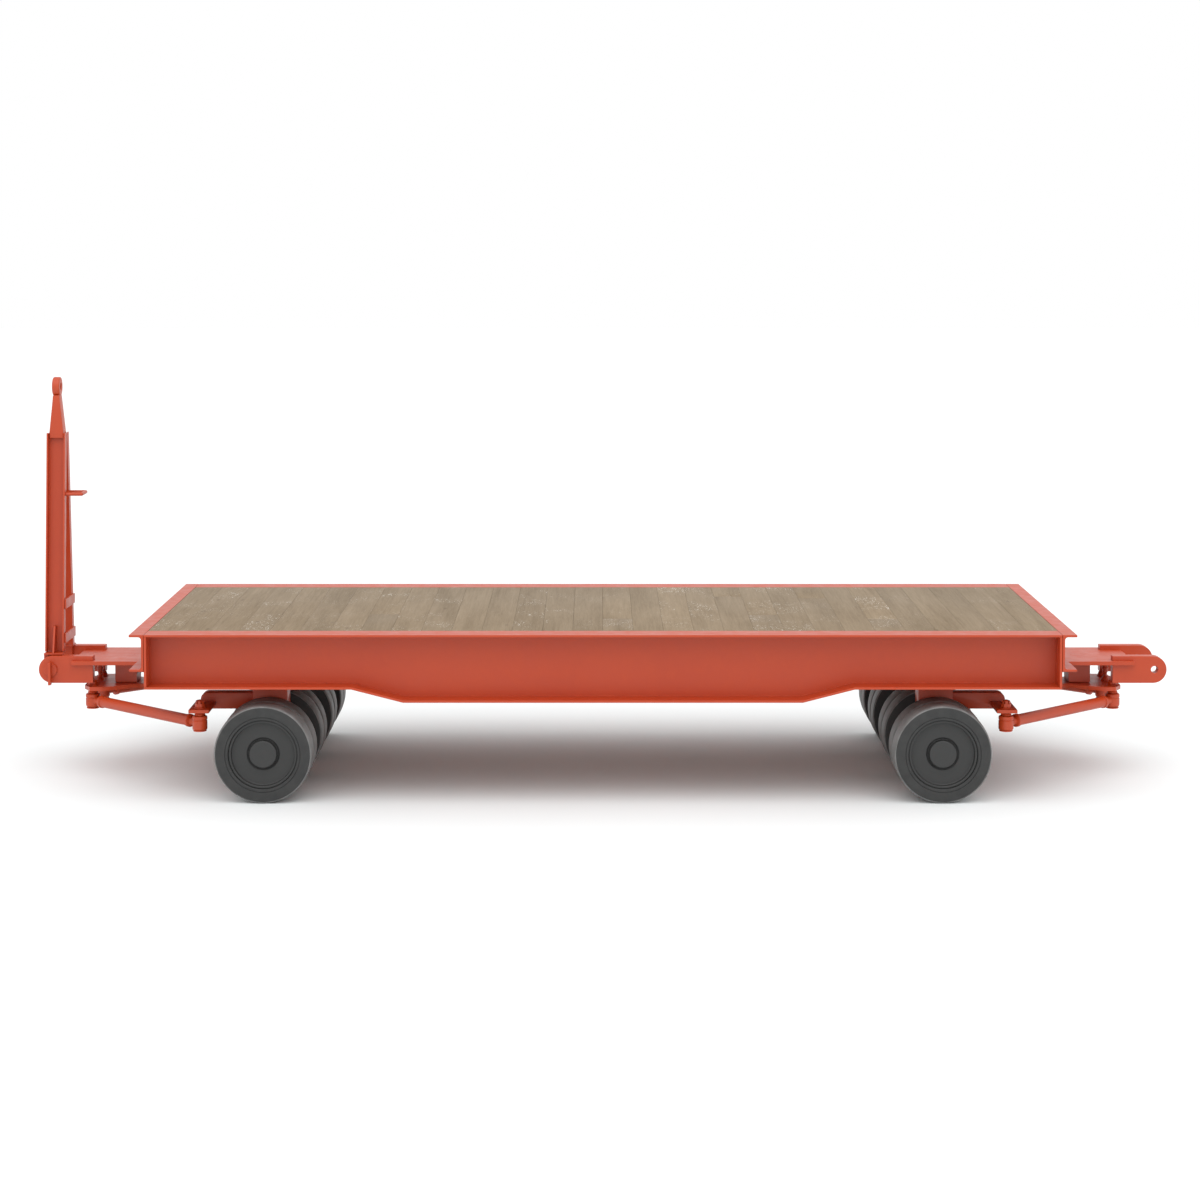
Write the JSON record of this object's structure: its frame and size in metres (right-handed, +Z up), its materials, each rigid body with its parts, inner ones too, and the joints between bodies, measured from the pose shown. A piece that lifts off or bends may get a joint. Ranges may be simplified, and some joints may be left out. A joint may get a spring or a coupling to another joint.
{
  "type": "heavy platform trailer",
  "caption": "Low platform trailer: plank deck on a fish-belly steel frame, steered bogies with dual solid tyres, a steering fork at each end and an A-frame drawbar folded upright.",
  "frame": {"origin": "on the ground under the middle of the deck", "axes": "+X along the trailer, away from the drawbar; +Y across it, towards its right side; +Z up"},
  "size_m": [6.2739, 2, 2.204],
  "materials": {
    "orange_paint": "satin orange-red enamel",
    "deck_wood": "weathered, unvarnished softwood",
    "tyre": "dark grey solid rubber",
    "rim_paint": "satin dark grey",
    "bare_steel": "machined and greased"
  },
  "bodies": {
    "chassis": {"side_beam_left": "orange_paint", "side_beam_right": "orange_paint", "end_beam_front": "orange_paint", "end_beam_rear": "orange_paint", "frame_end_plates": "orange_paint", "cross_members": "orange_paint", "bolster_front": "orange_paint", "bolster_rear": "orange_paint", "deck_planks": "deck_wood", "kingpin_bracket_front": "orange_paint", "kingpin_bracket_rear": "orange_paint"},
    "front_fork": {"fork_lugs_front": "orange_paint", "fork_top_plate_front": "orange_paint", "fork_lower_plate_front": "orange_paint", "fork_pillar_front": "orange_paint", "kingpin_front": "bare_steel", "fork_ball_studs_front": "orange_paint", "drawbar_pins": "orange_paint"},
    "front_left_bogie": {"bogie_frame_front_left": "orange_paint", "axle_front_left": "bare_steel"},
    "front_left_tie_rod": {"tie_rod_front_left": "orange_paint"},
    "front_left_inner_wheel": {"tyres_front_left_inner": "tyre", "rim_front_left_inner": "rim_paint"},
    "front_left_outer_wheel": {"tyres_front_left_outer": "tyre", "rim_front_left_outer": "rim_paint"},
    "front_right_bogie": {"bogie_frame_front_right": "orange_paint", "axle_front_right": "bare_steel"},
    "front_right_tie_rod": {"tie_rod_front_right": "orange_paint"},
    "front_right_inner_wheel": {"tyres_front_right_inner": "tyre", "rim_front_right_inner": "rim_paint"},
    "front_right_outer_wheel": {"tyres_front_right_outer": "tyre", "rim_front_right_outer": "rim_paint"},
    "rear_fork": {"fork_lugs_rear": "orange_paint", "fork_top_plate_rear": "orange_paint", "fork_lower_plate_rear": "orange_paint", "fork_pillar_rear": "orange_paint", "kingpin_rear": "bare_steel", "fork_ball_studs_rear": "orange_paint"},
    "rear_left_bogie": {"bogie_frame_rear_left": "orange_paint", "axle_rear_left": "bare_steel"},
    "rear_left_tie_rod": {"tie_rod_rear_left": "orange_paint"},
    "rear_left_inner_wheel": {"tyres_rear_left_inner": "tyre", "rim_rear_left_inner": "rim_paint"},
    "rear_left_outer_wheel": {"tyres_rear_left_outer": "tyre", "rim_rear_left_outer": "rim_paint"},
    "rear_right_bogie": {"bogie_frame_rear_right": "orange_paint", "axle_rear_right": "bare_steel"},
    "rear_right_tie_rod": {"tie_rod_rear_right": "orange_paint"},
    "rear_right_inner_wheel": {"tyres_rear_right_inner": "tyre", "rim_rear_right_inner": "rim_paint"},
    "rear_right_outer_wheel": {"tyres_rear_right_outer": "tyre", "rim_rear_right_outer": "rim_paint"},
    "drawbar": {"drawbar_leg_left": "orange_paint", "drawbar_leg_right": "orange_paint", "drawbar_feet": "orange_paint", "drawbar_gussets": "orange_paint", "drawbar_braces": "orange_paint", "drawbar_handle": "orange_paint", "drawbar_head": "orange_paint", "tow_eye": "orange_paint"}
  },
  "joints": [
    {"name": "front_fork_steer", "type": "hinge", "parent": "chassis", "child": "front_fork", "pos_m": [-2.678, 0, 0.551], "axis": [0, 0, 1], "range_deg": [-30, 30]},
    {"name": "front_left_bogie_swivel", "type": "hinge", "parent": "chassis", "child": "front_left_bogie", "pos_m": [-1.8, -0.565, 0.6], "axis": [0, 0, 1], "range_deg": [-16.5, 16.5]},
    {"name": "front_left_tie_rod_swivel", "type": "hinge", "parent": "front_fork", "child": "front_left_tie_rod", "pos_m": [-2.85, -0.15, 0.404], "axis": [0, 0, 1], "range_deg": [-31, 31]},
    {"name": "front_left_inner_wheel_spin", "type": "hinge", "parent": "front_left_bogie", "child": "front_left_inner_wheel", "pos_m": [-1.8, -0.294, 0.26], "axis": [0, 1, 0], "continuous": true},
    {"name": "front_left_outer_wheel_spin", "type": "hinge", "parent": "front_left_bogie", "child": "front_left_outer_wheel", "pos_m": [-1.8, -0.836, 0.26], "axis": [0, 1, 0], "continuous": true},
    {"name": "front_right_bogie_swivel", "type": "hinge", "parent": "chassis", "child": "front_right_bogie", "pos_m": [-1.8, 0.565, 0.6], "axis": [0, 0, 1], "range_deg": [-16.5, 16.5]},
    {"name": "front_right_tie_rod_swivel", "type": "hinge", "parent": "front_fork", "child": "front_right_tie_rod", "pos_m": [-2.85, 0.15, 0.404], "axis": [0, 0, 1], "range_deg": [-31, 31]},
    {"name": "front_right_inner_wheel_spin", "type": "hinge", "parent": "front_right_bogie", "child": "front_right_inner_wheel", "pos_m": [-1.8, 0.294, 0.26], "axis": [0, 1, 0], "continuous": true},
    {"name": "front_right_outer_wheel_spin", "type": "hinge", "parent": "front_right_bogie", "child": "front_right_outer_wheel", "pos_m": [-1.8, 0.836, 0.26], "axis": [0, 1, 0], "continuous": true},
    {"name": "rear_fork_steer", "type": "hinge", "parent": "chassis", "child": "rear_fork", "pos_m": [2.678, 0, 0.551], "axis": [0, 0, 1], "range_deg": [-30, 30]},
    {"name": "rear_left_bogie_swivel", "type": "hinge", "parent": "chassis", "child": "rear_left_bogie", "pos_m": [1.8, -0.565, 0.6], "axis": [0, 0, 1], "range_deg": [-16.5, 16.5]},
    {"name": "rear_left_tie_rod_swivel", "type": "hinge", "parent": "rear_fork", "child": "rear_left_tie_rod", "pos_m": [2.85, -0.15, 0.404], "axis": [0, 0, 1], "range_deg": [-31, 31]},
    {"name": "rear_left_inner_wheel_spin", "type": "hinge", "parent": "rear_left_bogie", "child": "rear_left_inner_wheel", "pos_m": [1.8, -0.294, 0.26], "axis": [0, 1, 0], "continuous": true},
    {"name": "rear_left_outer_wheel_spin", "type": "hinge", "parent": "rear_left_bogie", "child": "rear_left_outer_wheel", "pos_m": [1.8, -0.836, 0.26], "axis": [0, 1, 0], "continuous": true},
    {"name": "rear_right_bogie_swivel", "type": "hinge", "parent": "chassis", "child": "rear_right_bogie", "pos_m": [1.8, 0.565, 0.6], "axis": [0, 0, 1], "range_deg": [-16.5, 16.5]},
    {"name": "rear_right_tie_rod_swivel", "type": "hinge", "parent": "rear_fork", "child": "rear_right_tie_rod", "pos_m": [2.85, 0.15, 0.404], "axis": [0, 0, 1], "range_deg": [-31, 31]},
    {"name": "rear_right_inner_wheel_spin", "type": "hinge", "parent": "rear_right_bogie", "child": "rear_right_inner_wheel", "pos_m": [1.8, 0.294, 0.26], "axis": [0, 1, 0], "continuous": true},
    {"name": "rear_right_outer_wheel_spin", "type": "hinge", "parent": "rear_right_bogie", "child": "rear_right_outer_wheel", "pos_m": [1.8, 0.836, 0.26], "axis": [0, 1, 0], "continuous": true},
    {"name": "drawbar_lift", "type": "hinge", "parent": "front_fork", "child": "drawbar", "pos_m": [-3.07, 0, 0.586], "axis": [0, -1, 0], "range_deg": [0, 105]}
  ],
  "couplings": [
    {"joint": "front_left_bogie_swivel", "follows": "front_fork_steer", "ratio": 0.536},
    {"joint": "front_left_tie_rod_swivel", "follows": "front_fork_steer", "ratio": -1.02},
    {"joint": "front_right_bogie_swivel", "follows": "front_fork_steer", "ratio": 0.536},
    {"joint": "front_right_tie_rod_swivel", "follows": "front_fork_steer", "ratio": -1.02},
    {"joint": "rear_left_bogie_swivel", "follows": "rear_fork_steer", "ratio": 0.536},
    {"joint": "rear_left_tie_rod_swivel", "follows": "rear_fork_steer", "ratio": -1.02},
    {"joint": "rear_right_bogie_swivel", "follows": "rear_fork_steer", "ratio": 0.536},
    {"joint": "rear_right_tie_rod_swivel", "follows": "rear_fork_steer", "ratio": -1.02}
  ]
}
